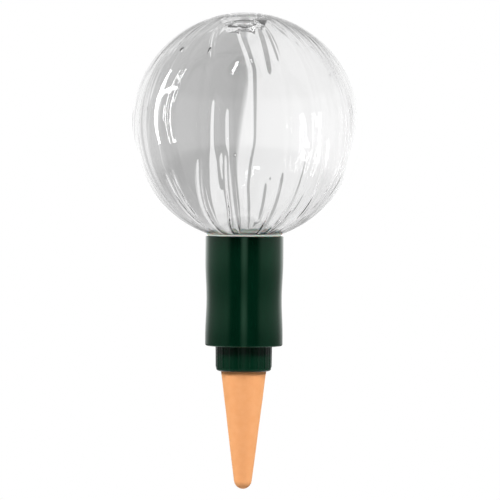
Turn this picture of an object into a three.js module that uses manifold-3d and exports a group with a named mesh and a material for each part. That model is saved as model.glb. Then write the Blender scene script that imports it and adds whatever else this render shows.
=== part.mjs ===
// A watering globe for plant pots. A ribbed glass globe stands neck down in a green collar, and its
// water runs through the collar into a porous clay cone, which gives it slowly to the soil.
//
// Millimetres, +Z up. The origin is on the axis at the soil line, which is the underside of the
// screw cap: the clay cone is below it, in the soil, and everything else stands above it.
import * as THREE from "three";
import { mergeVertices } from "three/addons/utils/BufferGeometryUtils.js";
import Module from "manifold-3d";

const wasm = await Module();
wasm.setup();

// Driving dimensions: fits
const FIT_GAP = 0.3; // between two pieces that bear on each other
const EDGE_BREAK = 0.4; // small chamfer on moulded and cut edges

// Driving dimensions: clay cone
const CONE_DIAMETER = 24; // at the soil line
const CONE_LENGTH = 62.3; // from the soil line down to the tip
const CONE_TIP_RADIUS = 4.8;
const CONE_WALL = 3;
const CONE_NECK_HEIGHT = 6.5; // the part inside the cap
const CONE_LEDGE = 0.75; // how far its flange stands out, with a 45 degree underside

// Driving dimensions: washer between the cone and the spigot
const WASHER_THICKNESS = 2;
const WASHER_OPENING = 18;

// Driving dimensions: the coarse thread that joins the cap and the spigot
const THREAD_PITCH = 3.2;
const THREAD_TURNS = 2;
const THREAD_DEPTH = 0.9;
const THREAD_BASE_WIDTH = 1.5;
const THREAD_CREST_WIDTH = 0.9;
const THREAD_PLAY = 0.35; // radial gap between a crest and the root that faces it
const THREAD_LEAD_IN = 1.4; // plain length of spigot below the thread

// Driving dimensions: screw cap
const CAP_FLOOR = 2.5;
const CAP_WALL = 0.85; // outside the thread's root, under the grip ribs
const CAP_PLAIN_RIM = 1.3; // above the thread
const CAP_CORNER_RADIUS = 1.6;
const CAP_INSERTION_GAP = 0.15; // the cone's flange passes the thread's crest with this gap
const GRIP_RIB_COUNT = 18;
const GRIP_RIB_DEPTH = 0.35;
const GRIP_RIB_WIDTH = 1.2;
const GRIP_RIB_TURN = 1; // degrees, where the first rib stands

// Driving dimensions: coupling inside the collar
const COUPLING_WALL = 2;
const FLANGE_THICKNESS = 2;
const CAP_HEADROOM = 1; // between the cap's rim and the lower flange
const THROAT_LENGTH = 15; // from the lower flange up to the socket
const SOCKET_FUNNEL = 1.5; // height of the sloped socket floor
const NECK_HEADROOM = 2; // between the socket floor and the glass neck

// Driving dimensions: neck seal
const SEAL_WALL = 1.2;
const SEAL_BEAD = 0.6; // how far the sealing beads stand out of its tube
const SEAL_BEAD_COUNT = 3;
const SEAL_TUBE_LENGTH = 18;
const SEAL_BRIM_RADIUS = 19.9; // the brim spreads over the collar's mouth, under the globe
const SEAL_BRIM_THICKNESS = 0.65;

// Driving dimensions: collar
const COLLAR_AIR_GAP = 2.5; // between the coupling's socket and the collar
const COLLAR_WALL = 2.25;
const COLLAR_LIP_WIDTH = 1; // how far its top rim turns in
const COLLAR_LIP_THICKNESS = 1.8;
const COLLAR_OVERLAP = 6.4; // how far it hangs down over the cap
const COLLAR_RIM_RADIUS = 0.8;
const COLLAR_SNAP_BEAD = 0.5; // holds the lower flange of the coupling
const WAIST_DEPTH = 0.65;
const WAIST_HEIGHT = 25; // above the collar's lower edge
const WAIST_HALF_LENGTH = 20;
const FOOT_TAPER = 0.25; // how much slimmer the lower edge is than the top

// Driving dimensions: glass globe
const GLOBE_DIAMETER = 120;
const GLASS_WALL = 2.2;
const NECK_DIAMETER = 23;
const NECK_LENGTH = 30;
const SHOULDER_FILLET = 4;
const POLE_BOSS_DEPTH = 7; // lump of thicker glass inside the top
const POLE_BOSS_RADIUS = 9;
const OPTIC_RIB_COUNT = 22;
const OPTIC_RIB_DEPTH = 0.8;
const OPTIC_RIB_TURN = 11.5; // degrees, where the first rib stands

// Facets
const SEGMENTS = 40; // round a turned piece
const COLLAR_SEGMENTS = 44;
const SEGMENTS_PER_RIB = 4;

// Radii and heights that follow from the driving dimensions
const coneRadius = CONE_DIAMETER / 2;
const coneFlangeRadius = coneRadius + CONE_LEDGE;
const coneBore = coneRadius - CONE_WALL;

const capCrest = coneFlangeRadius + CAP_INSERTION_GAP;
const capRoot = capCrest + THREAD_DEPTH;
const spigotRoot = capCrest - THREAD_PLAY;
const spigotCrest = spigotRoot + THREAD_DEPTH;
const spigotBore = spigotRoot - COUPLING_WALL;
const capRadius = capRoot + CAP_WALL;

const washerBottom = CONE_NECK_HEIGHT + FIT_GAP;
const washerTop = washerBottom + WASHER_THICKNESS;
const spigotEnd = washerTop + FIT_GAP;
const threadStart = spigotEnd + THREAD_LEAD_IN + THREAD_BASE_WIDTH / 2;
const threadRise = THREAD_TURNS * THREAD_PITCH;
const capTop = threadStart + threadRise + THREAD_BASE_WIDTH / 2 + CAP_PLAIN_RIM;

const lowerFlangeBottom = capTop + CAP_HEADROOM;
const lowerFlangeTop = lowerFlangeBottom + FLANGE_THICKNESS;
const socketFloor = lowerFlangeTop + THROAT_LENGTH;
const neckEnd = socketFloor + NECK_HEADROOM;

const globeRadius = GLOBE_DIAMETER / 2;
const neckRadius = NECK_DIAMETER / 2;
const globeCentre = neckEnd + NECK_LENGTH + Math.sqrt(globeRadius ** 2 - neckRadius ** 2);

const sealBore = neckRadius + FIT_GAP;
const sealRadius = sealBore + SEAL_WALL;
const socketRadius = sealRadius + SEAL_BEAD + FIT_GAP;
const socketOuterRadius = socketRadius + COUPLING_WALL;
const collarBore = socketOuterRadius + COLLAR_AIR_GAP;
const collarRadius = collarBore + COLLAR_WALL;
const mouthRadius = collarBore - COLLAR_LIP_WIDTH;
const flangeRadius = collarBore - FIT_GAP;

// The globe bears on the seal's brim, and the brim lies in the collar's dished top. Each of these
// faces runs parallel to the ball, at its own distance under it.
const brimTopGap = FIT_GAP;
const brimUnderGap = brimTopGap + SEAL_BRIM_THICKNESS;
const collarTopGap = brimUnderGap + FIT_GAP;
const collarTop = underGlobe(collarRadius, collarTopGap);
const mouthTop = underGlobe(mouthRadius, collarTopGap);
const collarBottom = capTop - COLLAR_OVERLAP;
const lipBottom = mouthTop - COLLAR_LIP_THICKNESS;
const upperFlangeTop = lipBottom - FIT_GAP;
const upperFlangeBottom = upperFlangeTop - FLANGE_THICKNESS;

// The concave fillet that leads from the ball into the neck has its centre here.
const filletCentreRadius = neckRadius + SHOULDER_FILLET;
const filletCentreHeight =
  globeCentre - Math.sqrt((globeRadius + SHOULDER_FILLET) ** 2 - filletCentreRadius ** 2);
const shoulderAngle = Math.asin(filletCentreRadius / (globeRadius + SHOULDER_FILLET));

// Materials
const glass = new THREE.MeshStandardMaterial({
  color: 0xe6ecec,
  roughness: 0.04,
  metalness: 0,
  transparent: true,
  opacity: 0.35,
});
const greenPlastic = new THREE.MeshStandardMaterial({ color: 0x0b3a24, roughness: 0.28, metalness: 0 });
const clay = new THREE.MeshStandardMaterial({ color: 0xf0a970, roughness: 0.95, metalness: 0 });
const silicone = new THREE.MeshStandardMaterial({ color: 0xd9dfd6, roughness: 0.45, metalness: 0 });
const rubber = new THREE.MeshStandardMaterial({ color: 0x1c1d1d, roughness: 0.8, metalness: 0 });

// Points on an arc, from one angle to another in degrees, with both ends.
function arc(centreRadius, centreHeight, radius, from, to, steps) {
  const points = [];
  for (let i = 0; i <= steps; i++) {
    const angle = THREE.MathUtils.degToRad(from + ((to - from) * i) / steps);
    const r = centreRadius + radius * Math.cos(angle);
    points.push(new THREE.Vector2(Math.max(r, 0), centreHeight + radius * Math.sin(angle)));
  }
  return points;
}

function point(radius, height) {
  return new THREE.Vector2(radius, height);
}

// The height, at this radius from the axis, of a face that runs at this distance under the ball.
function underGlobe(radius, gap) {
  return globeCentre - Math.sqrt((globeRadius + gap) ** 2 - radius ** 2);
}

// The profile's signed area, positive where its points run counter-clockwise.
function profileArea(points) {
  return points.reduce((sum, p, i) => {
    const q = points[(i + 1) % points.length];
    return sum + (p.x * q.y - q.x * p.y) / 2;
  }, 0);
}

// A solid of revolution about Z. A profile off the axis is closed on itself.
function turned(profile, segments = SEGMENTS) {
  const points = profileArea(profile) < 0 ? [...profile].reverse() : [...profile];
  const first = points[0];
  const last = points[points.length - 1];
  if (first.x > 0 || last.x > 0) points.push(first.clone());
  return new THREE.LatheGeometry(points, segments).rotateX(Math.PI / 2);
}

// A geometry as a manifold-3d solid, so that it can be joined or cut.
function solid(geometry) {
  const bare = new THREE.BufferGeometry();
  bare.setAttribute("position", geometry.getAttribute("position").clone());
  if (geometry.index) bare.setIndex(geometry.index.clone());
  const merged = mergeVertices(bare, 1e-4);
  const triangles = [];
  for (let i = 0; i < merged.index.count; i += 3) {
    const [a, b, c] = [0, 1, 2].map((k) => merged.index.getX(i + k));
    if (a !== b && b !== c && c !== a) triangles.push(a, b, c);
  }
  const vertProperties = new Float32Array(merged.getAttribute("position").array);
  return new wasm.Manifold(
    new wasm.Mesh({ numProp: 3, vertProperties, triVerts: new Uint32Array(triangles) }),
  );
}

function geometryOf(manifold) {
  const mesh = manifold.getMesh();
  const geometry = new THREE.BufferGeometry();
  geometry.setAttribute("position", new THREE.BufferAttribute(mesh.vertProperties, 3));
  geometry.setIndex(new THREE.BufferAttribute(mesh.triVerts, 1));
  geometry.computeVertexNormals();
  return geometry;
}

// One turn after another of a thread's ridge: a trapezium swept up a helix, tapered off at both
// ends. The root edge is sunk into the wall that the ridge is joined to.
function threadRidge(rootRadius, crestRadius, startAngle) {
  const sunk = 0.3 * Math.sign(rootRadius - crestRadius);
  const steps = THREAD_TURNS * SEGMENTS;
  const taperSteps = SEGMENTS / 8;
  const positions = [];
  for (let i = 0; i <= steps; i++) {
    const angle = startAngle + (i / SEGMENTS) * 2 * Math.PI;
    const height = threadStart + (i / SEGMENTS) * THREAD_PITCH;
    const grown = Math.min(1, 0.15 + Math.min(i, steps - i) / taperSteps);
    const crest = rootRadius + (crestRadius - rootRadius) * grown;
    const section = [
      [rootRadius + sunk, -THREAD_BASE_WIDTH / 2],
      [crest, -THREAD_CREST_WIDTH / 2],
      [crest, THREAD_CREST_WIDTH / 2],
      [rootRadius + sunk, THREAD_BASE_WIDTH / 2],
    ];
    for (const [r, z] of section) {
      positions.push(r * Math.cos(angle), r * Math.sin(angle), height + z);
    }
  }
  const index = [];
  for (let i = 0; i < steps; i++) {
    for (let k = 0; k < 4; k++) {
      const a = 4 * i + k;
      const b = 4 * i + ((k + 1) % 4);
      index.push(a, a + 4, b, b, a + 4, b + 4);
    }
  }
  const end = 4 * steps;
  index.push(0, 1, 2, 0, 2, 3, end, end + 2, end + 1, end, end + 3, end + 2);
  if (crestRadius < rootRadius) index.reverse();
  const geometry = new THREE.BufferGeometry();
  geometry.setAttribute("position", new THREE.Float32BufferAttribute(positions, 3));
  geometry.setIndex(index);
  return geometry;
}

// The hollow clay cone. Its tip is a ball that the sides are tangent to, and its flange sits on the
// chamfered hole of the cap.
function clayCone() {
  const tipHeight = CONE_TIP_RADIUS - CONE_LENGTH;
  const toTip = Math.hypot(coneRadius, tipHeight);
  const halfAngle = Math.atan(coneRadius / -tipHeight) - Math.asin(CONE_TIP_RADIUS / toTip);
  const slope = -THREE.MathUtils.radToDeg(halfAngle);
  return turned([
    ...arc(0, tipHeight, CONE_TIP_RADIUS, -90, slope, 6),
    point(coneRadius, 0),
    point(coneRadius, CAP_FLOOR - EDGE_BREAK),
    point(coneFlangeRadius, CAP_FLOOR - EDGE_BREAK + CONE_LEDGE),
    point(coneFlangeRadius, CONE_NECK_HEIGHT - EDGE_BREAK),
    point(coneFlangeRadius - EDGE_BREAK, CONE_NECK_HEIGHT),
    point(coneBore, CONE_NECK_HEIGHT),
    point(coneBore, 0),
    ...arc(0, tipHeight, CONE_TIP_RADIUS - CONE_WALL, slope, -90, 4),
  ]);
}

// The flat rubber washer that seals the cone's rim to the spigot's end.
function spigotWasher() {
  return turned([
    point(WASHER_OPENING / 2, washerBottom),
    point(coneFlangeRadius - FIT_GAP, washerBottom),
    point(coneFlangeRadius - FIT_GAP, washerTop),
    point(WASHER_OPENING / 2, washerTop),
  ]);
}

// One grip rib: an upright bar with sloped sides, from above the rounded corner up to the cap's rim.
function gripRib(degrees) {
  const sunk = CAP_WALL / 2;
  const outline = new THREE.Shape([
    point(capRadius - sunk, -GRIP_RIB_WIDTH / 2),
    point(capRadius + GRIP_RIB_DEPTH, -GRIP_RIB_WIDTH / 4),
    point(capRadius + GRIP_RIB_DEPTH, GRIP_RIB_WIDTH / 4),
    point(capRadius - sunk, GRIP_RIB_WIDTH / 2),
  ]);
  const depth = capTop - EDGE_BREAK - CAP_CORNER_RADIUS;
  return new THREE.ExtrudeGeometry(outline, { depth, bevelEnabled: false })
    .translate(0, 0, CAP_CORNER_RADIUS)
    .rotateZ(THREE.MathUtils.degToRad(degrees));
}

// The screw cap: a thin threaded wall on a floor whose hole is chamfered for the cone's flange.
function screwCap() {
  const hole = coneRadius + FIT_GAP;
  // The chamfer runs parallel to the flange's underside, one fit gap away from it.
  const chamferBottom = CAP_FLOOR - EDGE_BREAK - (Math.SQRT2 - 1) * FIT_GAP;
  const wall = turned([
    point(hole, 0),
    ...arc(capRadius - CAP_CORNER_RADIUS, CAP_CORNER_RADIUS, CAP_CORNER_RADIUS, -90, 0, 4),
    point(capRadius, capTop - EDGE_BREAK),
    point(capRadius - EDGE_BREAK / 2, capTop),
    point(capRoot, capTop),
    point(capRoot, CAP_FLOOR),
    point(hole + CAP_FLOOR - chamferBottom, CAP_FLOOR),
    point(hole, chamferBottom),
  ]);
  let cap = solid(wall).add(solid(threadRidge(capRoot, capCrest, Math.PI)));
  for (let i = 0; i < GRIP_RIB_COUNT; i++) {
    cap = cap.add(solid(gripRib(GRIP_RIB_TURN + (360 * i) / GRIP_RIB_COUNT)));
  }
  return geometryOf(cap);
}

// The coupling: a threaded spigot below, a socket for the glass neck above, and two flanges that
// carry the collar.
function coupling() {
  const throatRadius = spigotBore + COUPLING_WALL;
  const body = turned([
    point(spigotBore, spigotEnd),
    point(spigotRoot - EDGE_BREAK, spigotEnd),
    point(spigotRoot, spigotEnd + EDGE_BREAK),
    point(spigotRoot, lowerFlangeBottom),
    point(flangeRadius, lowerFlangeBottom),
    point(flangeRadius, lowerFlangeTop),
    point(throatRadius, lowerFlangeTop),
    point(throatRadius, socketFloor - COUPLING_WALL),
    point(socketOuterRadius, socketFloor + SOCKET_FUNNEL),
    point(socketOuterRadius, upperFlangeBottom),
    point(flangeRadius, upperFlangeBottom),
    point(flangeRadius, upperFlangeTop),
    point(socketRadius, upperFlangeTop),
    point(socketRadius, socketFloor + SOCKET_FUNNEL),
    point(spigotBore, socketFloor),
  ]);
  const thread = threadRidge(spigotRoot, spigotCrest, 0);
  return geometryOf(solid(body).add(solid(thread)));
}

// The silicone seal. Its brim follows the globe's shoulder and spreads over the collar's mouth, and
// beads on its tube press on the socket.
function neckSeal() {
  const flangeEdge = mouthRadius - FIT_GAP;
  const flangeBottom = upperFlangeTop + FIT_GAP;
  const offsetRadius = globeRadius + brimTopGap;
  const shoulderDegrees = THREE.MathUtils.radToDeg(shoulderAngle);
  const edgeDegrees = THREE.MathUtils.radToDeg(Math.asin(SEAL_BRIM_RADIUS / offsetRadius));
  const tubeEnd = flangeBottom - SEAL_TUBE_LENGTH;
  const beadSpacing = SEAL_TUBE_LENGTH / (SEAL_BEAD_COUNT + 0.5);
  const beads = [];
  for (let i = 0; i < SEAL_BEAD_COUNT; i++) {
    const middle = tubeEnd + beadSpacing * (i + 0.75);
    beads.push(
      point(sealRadius, middle - SEAL_BEAD),
      point(sealRadius + SEAL_BEAD, middle - SEAL_BEAD / 3),
      point(sealRadius + SEAL_BEAD, middle + SEAL_BEAD / 3),
      point(sealRadius, middle + SEAL_BEAD),
    );
  }
  return turned([
    point(sealBore, tubeEnd),
    point(sealRadius, tubeEnd),
    ...beads,
    point(sealRadius, flangeBottom),
    point(flangeEdge, flangeBottom),
    point(flangeEdge, underGlobe(flangeEdge, brimUnderGap)),
    point(SEAL_BRIM_RADIUS, underGlobe(SEAL_BRIM_RADIUS, brimUnderGap)),
    ...arc(0, globeCentre, offsetRadius, edgeDegrees - 90, shoulderDegrees - 90, 2),
    ...arc(
      filletCentreRadius,
      filletCentreHeight,
      SHOULDER_FILLET - FIT_GAP,
      90 + shoulderDegrees,
      180,
      4,
    ).slice(1),
  ]);
}

// The collar: a waisted tube with a straight bore and a dished top. Its lip rests on the coupling's
// upper flange and a snap bead closes under the lower one.
function collar() {
  const waist = collarBottom + WAIST_HEIGHT;
  const rows = 8;
  const outside = [];
  for (let i = 0; i <= rows; i++) {
    const along = (2 * i) / rows - 1;
    const drawnIn = (WAIST_DEPTH * (1 + Math.cos(Math.PI * along))) / 2;
    const tapered = (FOOT_TAPER * (1 - along)) / 2;
    outside.push(point(collarRadius - drawnIn - tapered, waist + along * WAIST_HALF_LENGTH));
  }
  const footRadius = collarRadius - FOOT_TAPER;
  const beadTop = lowerFlangeBottom - FIT_GAP;
  return turned(
    [
      point(collarBore + EDGE_BREAK, collarBottom),
      ...arc(footRadius - COLLAR_RIM_RADIUS, collarBottom + COLLAR_RIM_RADIUS, COLLAR_RIM_RADIUS, -90, 0, 3),
      ...outside,
      point(collarRadius, collarTop - EDGE_BREAK),
      point(collarRadius - EDGE_BREAK, underGlobe(collarRadius - EDGE_BREAK, collarTopGap)),
      point(mouthRadius, mouthTop),
      point(mouthRadius, lipBottom),
      point(collarBore, lipBottom),
      point(collarBore, beadTop),
      point(collarBore - COLLAR_SNAP_BEAD, beadTop - COLLAR_SNAP_BEAD),
      point(collarBore, beadTop - 3 * COLLAR_SNAP_BEAD),
      point(collarBore, collarBottom + EDGE_BREAK),
    ],
    COLLAR_SEGMENTS,
  );
}

// Share of the full rib depth at an angle from the top pole: the optic ribs run out before the
// lump at the pole and before the shoulder.
function ribShare(fromPole) {
  const startsAt = (1.5 * POLE_BOSS_RADIUS) / globeRadius;
  const endsAt = Math.PI - shoulderAngle;
  const fade = 0.35;
  const atPole = THREE.MathUtils.smoothstep(fromPole, startsAt, startsAt + fade);
  const atShoulder = THREE.MathUtils.smoothstep(endsAt - fromPole, 0, fade);
  return atPole * atShoulder;
}

// The glass globe: an even wall with a thicker lump inside the top, optic ribs on the inner face
// and an open, fire-polished neck.
function globe() {
  const outerRows = 13;
  const shoulderDegrees = THREE.MathUtils.radToDeg(shoulderAngle);
  const outer = arc(0, globeCentre, globeRadius, 90, shoulderDegrees - 90, outerRows);
  const innerRadius = globeRadius - GLASS_WALL;
  const bossDegrees = THREE.MathUtils.radToDeg(POLE_BOSS_RADIUS / globeRadius);
  const belowBoss = arc(0, globeCentre, innerRadius, shoulderDegrees - 90, 90 - 3 * bossDegrees, 9);
  const boss = [2.2, 1.6, 1.1, 0.7, 0.35, 0].map((share) => {
    const angle = THREE.MathUtils.degToRad(share * bossDegrees);
    const r = innerRadius - POLE_BOSS_DEPTH * Math.exp(-share * share);
    return point(r * Math.sin(angle), globeCentre + r * Math.cos(angle));
  });
  const geometry = turned(
    [
      ...outer,
      ...arc(filletCentreRadius, filletCentreHeight, SHOULDER_FILLET, 90 + shoulderDegrees, 180, 3).slice(1),
      ...arc(neckRadius - GLASS_WALL / 2, neckEnd + GLASS_WALL / 2, GLASS_WALL / 2, 0, -180, 4),
      ...arc(
        filletCentreRadius,
        filletCentreHeight,
        SHOULDER_FILLET + GLASS_WALL,
        180,
        90 + shoulderDegrees,
        3,
      ),
      ...belowBoss.slice(1),
      ...boss,
    ],
    OPTIC_RIB_COUNT * SEGMENTS_PER_RIB,
  );
  const position = geometry.getAttribute("position");
  const centre = new THREE.Vector3(0, 0, globeCentre);
  const innerLimit = globeRadius - GLASS_WALL / 2;
  for (let i = 0; i < position.count; i++) {
    const out = new THREE.Vector3().fromBufferAttribute(position, i).sub(centre);
    const reach = out.length();
    const onInnerBall = reach < innerLimit && Math.abs(reach - innerRadius) < POLE_BOSS_DEPTH;
    if (!onInnerBall) continue;
    const wave = (1 + Math.cos(OPTIC_RIB_COUNT * Math.atan2(out.y, out.x))) / 2;
    const fromPole = Math.acos(out.z / reach);
    out.setLength(reach - OPTIC_RIB_DEPTH * wave * ribShare(fromPole)).add(centre);
    position.setXYZ(i, out.x, out.y, out.z);
  }
  geometry.rotateZ(THREE.MathUtils.degToRad(OPTIC_RIB_TURN));
  geometry.computeVertexNormals();
  return geometry;
}

function piece(name, geometry, material) {
  const mesh = new THREE.Mesh(geometry, material);
  mesh.name = name;
  return mesh;
}

// The stake stays in the soil. The washer turns with the collar as it is unscrewed, and the collar
// rises along the thread. The globe lifts out of its seal to be filled.
const stake = new THREE.Group();
stake.add(piece("clay_cone", clayCone(), clay));
stake.add(piece("screw_cap", screwCap(), greenPlastic));
stake.add(piece("spigot_washer", spigotWasher(), rubber));

const holder = new THREE.Group();
holder.add(piece("coupling", coupling(), greenPlastic));
holder.add(piece("collar", collar(), greenPlastic));
holder.add(piece("neck_seal", neckSeal(), silicone));
holder.add(piece("globe", globe(), glass));

const wateringGlobe = new THREE.Group();
wateringGlobe.add(stake, holder);

export default wateringGlobe;
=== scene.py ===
# %% [markdown]
# # A watering globe, dressed in Blender
#
# The object is a mouth-blown glass ball that stands neck down in a green plastic collar. A screw cap
# under the collar clamps a hollow clay cone, and the cone lets the water out into the soil.
#
# Every piece is turned or blown, so it is a surface of revolution to begin with. The lesson works
# each surface out with numpy as one array of points, lets waves and ridges push the points about,
# and only then hands the array to Blender.

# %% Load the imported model
import math

import bpy
import numpy as np
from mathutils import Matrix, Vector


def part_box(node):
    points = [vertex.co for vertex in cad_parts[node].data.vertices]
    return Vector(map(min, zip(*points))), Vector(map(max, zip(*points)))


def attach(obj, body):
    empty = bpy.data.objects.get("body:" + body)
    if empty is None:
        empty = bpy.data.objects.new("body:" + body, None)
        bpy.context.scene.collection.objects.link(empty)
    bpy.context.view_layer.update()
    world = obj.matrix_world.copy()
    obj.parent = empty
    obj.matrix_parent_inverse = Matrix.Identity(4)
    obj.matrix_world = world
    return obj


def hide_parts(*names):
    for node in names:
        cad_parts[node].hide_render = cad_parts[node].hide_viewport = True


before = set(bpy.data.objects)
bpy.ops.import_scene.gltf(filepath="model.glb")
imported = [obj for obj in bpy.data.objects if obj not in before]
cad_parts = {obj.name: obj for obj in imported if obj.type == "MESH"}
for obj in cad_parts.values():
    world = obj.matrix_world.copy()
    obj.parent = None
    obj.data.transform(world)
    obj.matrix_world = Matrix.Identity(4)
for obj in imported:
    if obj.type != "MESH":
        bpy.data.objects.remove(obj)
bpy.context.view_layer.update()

MM = 0.001
TURN = 2 * math.pi
QUARTER = TURN / 4

# %% [markdown]
# ## The camera
#
# The photograph is taken from far away with a long lens, level with the lower half of the ball: the
# collar's lower rim curves down by only a pixel or two. The camera is put where those curves say the
# eye was, and it leans a little, as the object leans in the picture.

# %% Camera
IMAGE_SIDE = 500  # pixels
PIXELS_PER_MM = 1.9
VIEW_DISTANCE = 1684 * MM
EYE_HEIGHT = 102.9 * MM
EYE_ROW = 175.5  # the pixel row that is level with the eye
AXIS_COLUMN = 245.0  # the pixel column of the object's axis, at the picture's middle row
LEAN_DEGREES = 0.41
SENSOR_WIDTH = 36  # millimetres

camera = bpy.data.objects.new("camera", bpy.data.cameras.new("camera"))
bpy.context.scene.collection.objects.link(camera)
bpy.context.scene.camera = camera
pixels_away = VIEW_DISTANCE / MM * PIXELS_PER_MM
camera.data.sensor_width = SENSOR_WIDTH
camera.data.lens = SENSOR_WIDTH * pixels_away / IMAGE_SIDE
camera.data.clip_end = 50
pitch = math.atan((IMAGE_SIDE / 2 - EYE_ROW) / pixels_away)
sideways = (IMAGE_SIDE / 2 - AXIS_COLUMN) / PIXELS_PER_MM * MM
camera.location = (sideways, -VIEW_DISTANCE, EYE_HEIGHT)
camera.rotation_euler = (QUARTER - pitch, -math.radians(LEAN_DEGREES), 0)
print("lens %.0f mm, looking %.2f degrees down" % (camera.data.lens, math.degrees(pitch)))

# %% [markdown]
# ## Points to meshes
#
# A piece of revolution is a grid: one row for each point of its profile, one column for each angle.
# A profile that starts and ends on the axis closes with a fan of triangles at each pole, and one
# that runs round a wall closes on itself, so that the grid becomes a ring.

# %% Closed meshes from a grid of points
def add_mesh(name, points, faces):
    """An object at the origin, whose mesh has these points, in metres, and these faces."""
    mesh = bpy.data.meshes.new(name)
    mesh.from_pydata(points.tolist(), [], faces)
    mesh.validate()
    mesh.polygons.foreach_set("use_smooth", np.ones(len(mesh.polygons), bool))
    made = bpy.data.objects.new(name, mesh)
    bpy.context.scene.collection.objects.link(made)
    return made


def grid_faces(rows, columns, closed_rows):
    """Quads between each row and the next, and each column and the next round the turn."""
    first = np.arange(rows if closed_rows else rows - 1)
    row, column = np.meshgrid(first, np.arange(columns), indexing="ij")
    this_row, next_row = row * columns, (row + 1) % rows * columns
    next_column = (column + 1) % columns
    corners = (this_row + column, this_row + next_column, next_row + next_column, next_row + column)
    return np.stack(corners, axis=-1).reshape(-1, 4).tolist()


def add_capped(name, points):
    """A mesh that the first and the last row of points[row, column] close as poles.

    Every point of a pole's row lies in one place, so the row becomes one vertex and a fan. The
    faces look outwards when the outside is run upwards, and the inside of a wall downwards.
    """
    rows, columns, _ = points.shape
    faces = grid_faces(rows - 2, columns, False)
    column = np.arange(columns)
    following = (column + 1) % columns
    last_row = (rows - 3) * columns
    first_pole = np.full(columns, (rows - 2) * columns)
    first_fan = np.stack([first_pole, following, column], axis=-1)
    last_fan = np.stack([first_pole + 1, last_row + column, last_row + following], axis=-1)
    vertices = np.concatenate([points[1:-1].reshape(-1, 3), points[[0, -1], 0]])
    return add_mesh(name, vertices, faces + first_fan.tolist() + last_fan.tolist())


# %% Rings and balls
def turn_profile(radii, heights, columns):
    """points[row, column]: x = radius * cos(angle), y = radius * sin(angle), z = height.

    radii and heights are in millimetres, and may be one value for each row or a whole grid.
    """
    angle = np.arange(columns) * TURN / columns
    radii, heights = (np.reshape(values, (len(values), -1)) for values in (radii, heights))
    x, y = radii * np.cos(angle), radii * np.sin(angle)
    return np.stack([x, y, np.broadcast_to(heights, x.shape)], axis=-1) * MM


def add_ring(name, profile, columns=128, relief=None):
    """A ring turned from a closed profile of (radius, height) rows in millimetres.

    The profile runs counter-clockwise when it is drawn with the radius to the right and the height
    upwards, so that the faces look outwards. relief(angle, radius, height) tells how far each point
    stands out. The mesh gets an attribute, "edge", that tells a material where hands rub the piece.
    """
    radius, height = profile.T[..., None]
    angle = np.arange(columns) * TURN / columns
    stand_out = relief(angle, radius, height) if relief else 0
    points = turn_profile(radius + stand_out, height, columns).reshape(-1, 3)
    made = add_mesh(name, points, grid_faces(len(profile), columns, True))
    edge = made.data.attributes.new("edge", "FLOAT", "POINT")
    edge.data.foreach_set("value", np.repeat(edge_share(profile), columns).astype(np.float32))
    return made


def ball_points(half_sizes, rows, columns):
    """points[row, column] of a ball with these half sizes in millimetres, from its lowest pole up."""
    down = np.linspace(math.pi, 0, rows)
    return turn_profile(np.sin(down), np.cos(down), columns) * half_sizes


# %% Profiles
def smooth_step(low, high, value):
    """0 below low, 1 above high, and the curve 3t^2 - 2t^3 between."""
    t = np.clip((value - low) / (high - low), 0, 1)
    return t * t * (3 - 2 * t)


def edge_share(profile):
    """1 where a closed profile turns over an outside edge, and 0 where it is flat or hollow.

    It is the turning angle between the two sides, divided by their mean length: over 1.5 per
    millimetre counts as an edge.
    """
    before = profile - np.roll(profile, 1, axis=0)
    after = np.roll(profile, -1, axis=0) - profile
    cross = before[:, 0] * after[:, 1] - before[:, 1] * after[:, 0]
    turning = np.arctan2(cross, (before * after).sum(axis=1))
    length = (np.linalg.norm(before, axis=1) + np.linalg.norm(after, axis=1)) / 2
    return smooth_step(0.5, 1.5, turning / length)


SHORTEST_SIDE = 0.02


def rounded(corners, steps=5, beside=0.15, share=0.45):
    """A closed profile with its corners rounded: rows of (radius, height) in millimetres.

    corners are (radius, height, rounding). Each becomes an arc that is tangent to both sides and takes
    at most the share of the shorter one. A point just beside each end of the arc keeps the shading of
    the flat stretches flat.
    """
    points = []
    rows = np.array(corners, float)
    for before, row, after in zip(np.roll(rows, 1, axis=0), rows, np.roll(rows, -1, axis=0)):
        here, rounding = row[:2], row[2]
        back = before[:2] - here
        ahead = after[:2] - here
        room = share * min(np.linalg.norm(back), np.linalg.norm(ahead))
        back = back / np.linalg.norm(back)
        ahead = ahead / np.linalg.norm(ahead)
        half = math.acos(np.clip(back @ ahead, -1, 1)) / 2
        reach = min(rounding / math.tan(half), room)
        radius = reach * math.tan(half)
        middle = here + (back + ahead) / np.linalg.norm(back + ahead) * radius / math.sin(half)
        start = here + back * reach - middle
        end = here + ahead * reach - middle
        along = np.linspace(0, 1, steps)[:, None]
        arc = start * (1 - along) + end * along
        arc = arc / np.linalg.norm(arc, axis=1)[:, None] * radius
        side = min(beside, room - reach)
        if side > SHORTEST_SIDE:
            arc = np.concatenate([[start + back * side], arc, [end + ahead * side]])
        points.extend(middle + arc)
    return np.array(points)


def finer(profile, step, closed=True):
    """The profile with points added, so that no two neighbours are further apart than step."""
    rows = []
    following = np.roll(profile, -1, axis=0) if closed else profile[1:]
    for here, after in zip(profile, following):
        count = max(1, math.ceil(np.linalg.norm(after - here) / step))
        rows.extend(here + (after - here) * np.arange(count)[:, None] / count)
    return np.array(rows if closed else [*rows, profile[-1]])


# %% [markdown]
# ## Materials
#
# Colours are written as sRGB hex values, as they are seen, and one function turns them into the
# linear values that Blender computes with. Another adds a node, sets its inputs and links what it is
# fed with, so a material reads from top to bottom like a recipe.

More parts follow.
